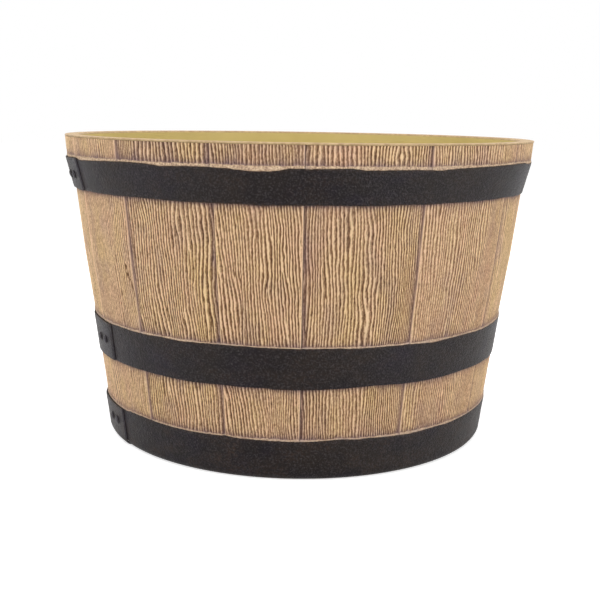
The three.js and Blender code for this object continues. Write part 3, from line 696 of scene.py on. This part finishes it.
# Rounds of the tub's section, each with its centre (radius, height) and its own radius, in mm.
INNER_CORNER, OUTER_CORNER = ((192.333, 57.8), 14), ((192.233, 57.3), 17)
LIP_INNER_EDGE = ((RIM_RADIUS - 13.48, HEIGHT - 2.55), 2.45)
LIP_OUTER_EDGE = ((RIM_RADIUS - 1, HEIGHT - 1.03), 0.95)


def bow(centre, radius, start, end, count):
    """Points (radius, height) on a round edge about its centre, between two angles."""
    swing = np.radians(np.linspace(start, end, count))
    return np.stack([centre[0] + radius * np.cos(swing), centre[1] + radius * np.sin(swing)], 1)


def tub_outline():
    """The tub's section from the inner edge of its floor, up the straight wall, over the lip,
    which is crowned by a parabola, and down the outside to the floor's underside."""
    def wall(z, inset):
        return np.stack([inner_radius(z) - inset, z], 1)

    lip_top = LIP_MIDDLE + np.linspace(-5.6, 5.6, 5)
    crown = HEIGHT - LIP_CROWN * ((lip_top - LIP_MIDDLE) / 6) ** 2
    up = np.append(np.linspace(60, 318, 14), LIP_FOOT - 3.5)
    down = np.append([LIP_FOOT, LIP_FOOT - 1.5], np.linspace(316, 60, 6))
    return np.vstack([
        bow(*INNER_CORNER, -90, -WALL_LEAN, 9), wall(up, TUB_INSET + TUB_WALL),
        bow(*LIP_INNER_EDGE, 176, 96, 6), np.stack([lip_top, crown], 1),
        bow(*LIP_OUTER_EDGE, 84, -88, 8), [[RIM_RADIUS - 4, LIP_FOOT]],
        wall(down, TUB_INSET), bow(*OUTER_CORNER, -WALL_LEAN, -90, 7)])


def joined(parts):
    """The points and faces of several grids as one, with each grid's corners counted on from
    the last one's."""
    starts = np.cumsum([0] + [len(points) for points, _ in parts]).tolist()
    faces = [[corner + start for corner in face]
             for start, (_, part_faces) in zip(starts, parts) for face in part_faces]
    return np.vstack([points for points, _ in parts]), faces


def ringed(grid, cap=()):
    """The points and faces of a grid whose rows are closed rings, and of any cap on it."""
    rows, columns = grid.shape[:2]
    return grid.reshape(-1, 3), grid_faces(rows, columns, close_columns=True) + list(cap)


def tub_floor(edge, z):
    """A level floor as rings of points: plain ones out to its edge and in to its middle, and
    for each drain rings that go from the round hole out to the four sides of its sector."""
    low, high = DRAIN_BAND
    outside = around(ALL_ROUND, np.array([edge, 170, high])[:, None], z)
    middle = around(ALL_ROUND, np.array([low, 60, 25, 3])[:, None], z)
    last_ring = np.arange(len(ALL_ROUND)) + 3 * len(ALL_ROUND)
    parts = [ringed(outside), ringed(middle, [last_ring.tolist()])]
    half, steps = 30, 10                # degrees to a sector's side, and steps along that side
    side, turn = np.linspace(low, high, steps + 1), np.arange(-half, half + 1.0)
    sides = np.full(steps, half)
    rim_turn = np.concatenate([turn[:-1], sides, turn[:0:-1], -sides])
    outer_arc, inner_arc = np.full(2 * half, high), np.full(2 * half, low)
    rim_radius = np.concatenate([outer_arc, side[:0:-1], inner_arc, side[:-1]])
    mouth = DRAIN_RADIUS + DRAIN_EASE
    for drain in range(half, 360, 2 * half):
        rim = around(drain + rim_turn, rim_radius, z)
        centre = around(drain, DRAIN_CIRCLE, z)
        away = rim - centre
        hole = centre + away * mouth / np.linalg.norm(away, axis=-1, keepdims=True)
        share = np.linspace(0, 1, 5)[:, None, None] ** 1.4
        parts.append(ringed(hole + share * (rim - hole)))
        if z == TUB_FLOOR[1]:           # and the bore through the floor, eased at both edges
            towards = (hole - centre) / mouth
            bore = [(mouth, z), (DRAIN_RADIUS + 0.1, z - 0.15), (DRAIN_RADIUS, z - 0.6),
                    (DRAIN_RADIUS, TUB_FLOOR[0] + 0.4), (mouth, TUB_FLOOR[0])]
            parts.append(ringed(np.stack([centre + towards * r + [0, 0, h - z] for r, h in bore])))
    return joined(parts)


outline = tub_outline()
points, faces = joined([
    ringed(around(ALL_ROUND, outline[:, :1], outline[:, 1:])),
    tub_floor(outline[0, 0], TUB_FLOOR[1]), tub_floor(outline[-1, 0], TUB_FLOOR[0])])

ochre = Recipe("ochre_moulding", Specular_IOR_Level=0.14)
cloud = ochre.noise((14, 14, 14), 3.0, 0.6)
stipple = ochre.noise((1300, 1300, 1300), 2.0)
smooth = ochre.ramp(cloud, (0.34, colour(198, 178, 112)), (0.52, colour(203, 184, 118)),
                    (0.68, colour(208, 188, 123)))
rubbed = ochre.ramp(ochre.noise((220, 220, 220), 3.0), (0.35, colour(170, 142, 106)),
                    (0.65, colour(198, 170, 130)))
on_lip = ochre.add("ShaderNodeMapRange", Value=ochre.axis("Z"), From_Min=0.001 * (HEIGHT - 2.8),
                   From_Max=0.001 * (HEIGHT - 1.4)).outputs["Result"]
ochre.bump(stipple, 0.0003, 0.5)
ochre_moulding = ochre.finish(Base_Color=ochre.blend(on_lip, smooth, rubbed),
                              Roughness=ochre.maths("MULTIPLY_ADD", cloud, 0.2, 0.48))
make_piece("inner_tub", points, faces, ochre_moulding, "liner_tub",
           sharp=35, weld=True)

# Floor, light and camera. A plain white sweep, soft lamps all round and one above, two low ones
# that show only in the gloss, and the camera at the photograph's place: low, a little above the
# rim, and turned a touch clockwise.

FLOOR_REACH, FLOOR_LEVEL = 9, -0.0001   # metres, just under the planter's foot


def seen_directly(tree):
    """1 for what the camera sees straight, in a reflection or through glass, and 0 for the
    light that is shed on other things."""
    rays = tree.nodes.new("ShaderNodeLightPath")
    seen = rays.outputs["Is Camera Ray"]
    for kind in ("Is Glossy Ray", "Is Transmission Ray"):
        either = tree.nodes.new("ShaderNodeMath")
        either.operation = "MAXIMUM"
        tree.links.new(seen, either.inputs[0])
        tree.links.new(rays.outputs[kind], either.inputs[1])
        seen = either.outputs[0]
    return seen


paper = bpy.data.materials.new("white_floor")
paper.use_nodes = True
nodes, links = paper.node_tree.nodes, paper.node_tree.links
nodes.clear()
matt = nodes.new("ShaderNodeBsdfDiffuse")
matt.inputs["Color"].default_value = (0.80, 0.80, 0.80, 1)
glow = nodes.new("ShaderNodeEmission")
glow.inputs["Strength"].default_value = 0.62
none = nodes.new("ShaderNodeEmission")
none.inputs["Strength"].default_value = 0.0
extra = nodes.new("ShaderNodeMixShader")
links.new(seen_directly(paper.node_tree), extra.inputs[0])
links.new(none.outputs[0], extra.inputs[1])
links.new(glow.outputs[0], extra.inputs[2])
both = nodes.new("ShaderNodeAddShader")
links.new(matt.outputs[0], both.inputs[0])
links.new(extra.outputs[0], both.inputs[1])
links.new(both.outputs[0], nodes.new("ShaderNodeOutputMaterial").inputs["Surface"])

floor_mesh = bpy.data.meshes.new("floor")
corners = [(FLOOR_REACH * x, FLOOR_REACH * y, FLOOR_LEVEL)
           for x, y in ((-1, -1), (1, -1), (1, 1), (-1, 1))]
floor_mesh.from_pydata(corners, [], [(0, 1, 2, 3)])
floor_mesh.materials.append(paper)
floor = bpy.data.objects.new("floor", floor_mesh)
bpy.context.scene.collection.objects.link(floor)

world = bpy.data.worlds.new("white_room")
bpy.context.scene.world = world
world.use_nodes = True
nodes, links = world.node_tree.nodes, world.node_tree.links
room = nodes["Background"]
room.inputs["Color"].default_value = (1, 1, 1, 1)
room_level = nodes.new("ShaderNodeMapRange")
room_level.inputs["To Min"].default_value = 0.50
room_level.inputs["To Max"].default_value = 1.0
links.new(seen_directly(world.node_tree), room_level.inputs["Value"])
links.new(room_level.outputs["Result"], room.inputs["Strength"])


def soft_lamp(name, azimuth, elevation, distance, side, white):
    """A square lamp of this side, in metres, that looks at the planter and alone would show a
    white card facing it at the level given: its power is that level times pi squared times the
    distance squared."""
    lamp = bpy.data.lights.new(name, "AREA")
    lamp.shape, lamp.size = "SQUARE", side
    lamp.energy = white * np.pi ** 2 * distance ** 2
    turn, rise = np.radians(azimuth), np.radians(elevation)
    aim = Vector((0, 0, 0.17))
    spot = Vector((np.sin(turn) * np.cos(rise), -np.cos(turn) * np.cos(rise), np.sin(rise)))
    placed = bpy.data.objects.new(name, lamp)
    facing = spot.to_track_quat("Z", "Y").to_matrix().to_4x4()
    placed.matrix_world = Matrix.Translation(aim + distance * spot) @ facing
    bpy.context.scene.collection.objects.link(placed)
    return placed


soft_lamp("key", -38, 42, 2.2, 1.5, 0.33)
soft_lamp("fill", 44, 34, 2.2, 1.5, 0.30)
soft_lamp("back_left", -140, 38, 2.4, 1.5, 0.20)
soft_lamp("back_right", 140, 38, 2.4, 1.5, 0.20)
soft_lamp("overhead", 0, 88, 2.4, 1.6, 0.22)
for name, azimuth, white in (("sheen_left", -64, 1.1), ("sheen_right", 54, 1.5)):
    soft_lamp(name, azimuth, 6, 2.2, 1.2, white).visible_diffuse = False

CAMERA_PLACE = (0, -1.12515, 0.3558)                                # metres
yaw, pitch, roll = np.radians([0.172, 10.861, 0.9045])
ahead = np.array([np.cos(pitch) * np.sin(yaw), np.cos(pitch) * np.cos(yaw), -np.sin(pitch)])
level_right = np.array([np.cos(yaw), -np.sin(yaw), 0])
level_up = np.cross(level_right, ahead)
right = np.cos(roll) * level_right + np.sin(roll) * level_up
up = np.cos(roll) * level_up - np.sin(roll) * level_right
camera = bpy.data.objects.new("camera", bpy.data.cameras.new("camera"))
camera.data.lens, camera.data.sensor_width = 58.555, 36
camera.data.clip_start, camera.data.clip_end = 0.05, 50
facing = Matrix(np.stack([right, up, -ahead], 1).tolist()).to_4x4()
camera.matrix_world = Matrix.Translation(CAMERA_PLACE) @ facing
bpy.context.scene.collection.objects.link(camera)
bpy.context.scene.camera = camera
bpy.context.scene.view_settings.view_transform = "Standard"
